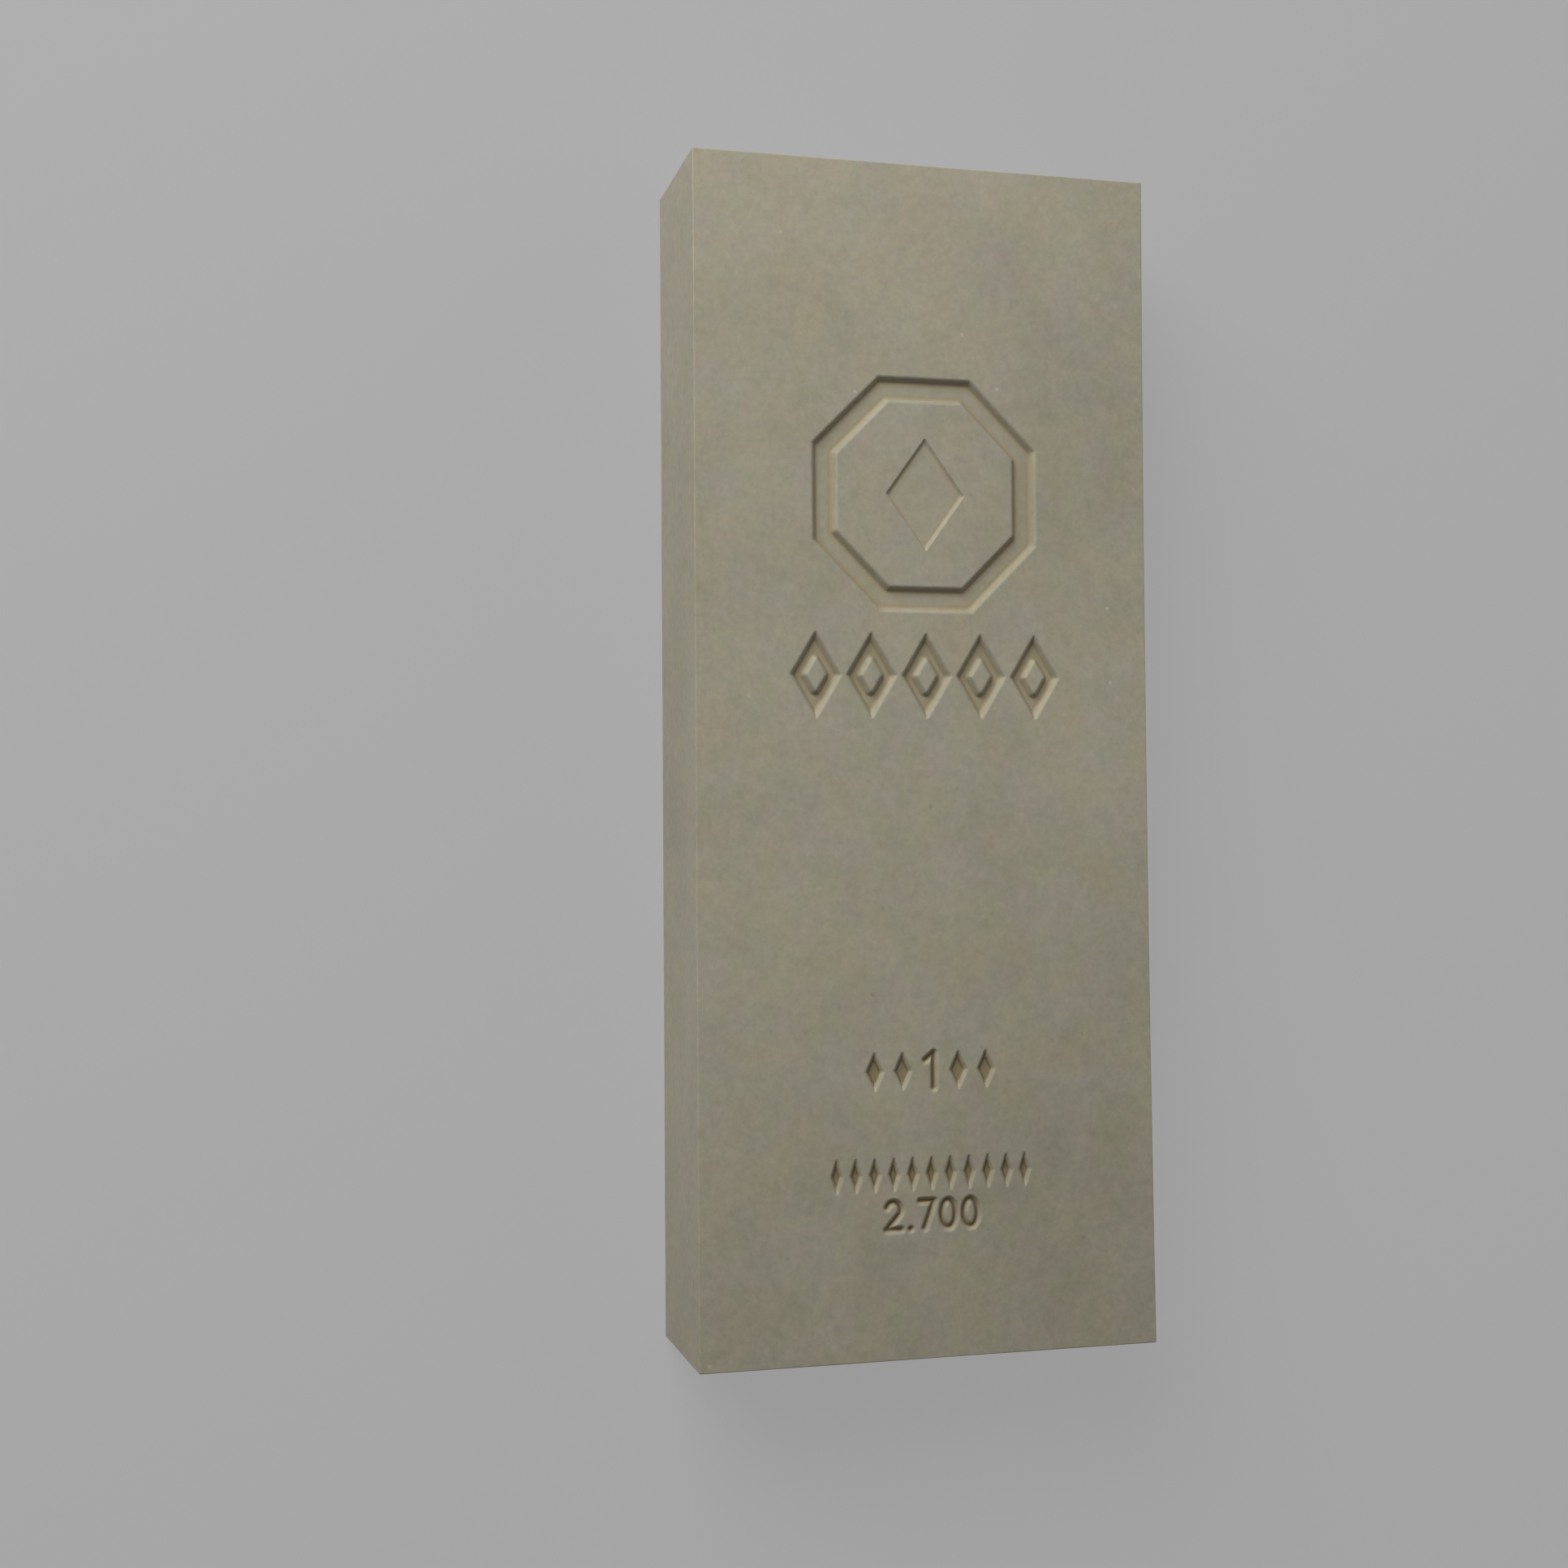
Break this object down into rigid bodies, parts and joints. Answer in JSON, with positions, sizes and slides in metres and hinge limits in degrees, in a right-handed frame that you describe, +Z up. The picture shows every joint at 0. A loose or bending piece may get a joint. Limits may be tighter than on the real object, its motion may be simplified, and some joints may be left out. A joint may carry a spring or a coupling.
{
  "type": "aluminium ingot",
  "caption": "Plain rectangular block of cast aluminium with softly rounded edges, lying on its back, with a frame and rows of lozenges sunk in its upper face.",
  "frame": {"origin": "centre of the back face, on which the ingot lies", "axes": "+Z up out of the marked face, +Y along the length towards the head of the marks, +X across the width, to the right of someone who reads the marks"},
  "size_m": [0.075, 0.188, 0.0263],
  "materials": {
    "blasted_aluminium": "matt, evenly blasted casting skin with a fine grain and a faint warm tint"
  },
  "bodies": {
    "root": {"ingot": "blasted_aluminium"}
  },
  "joints": []
}
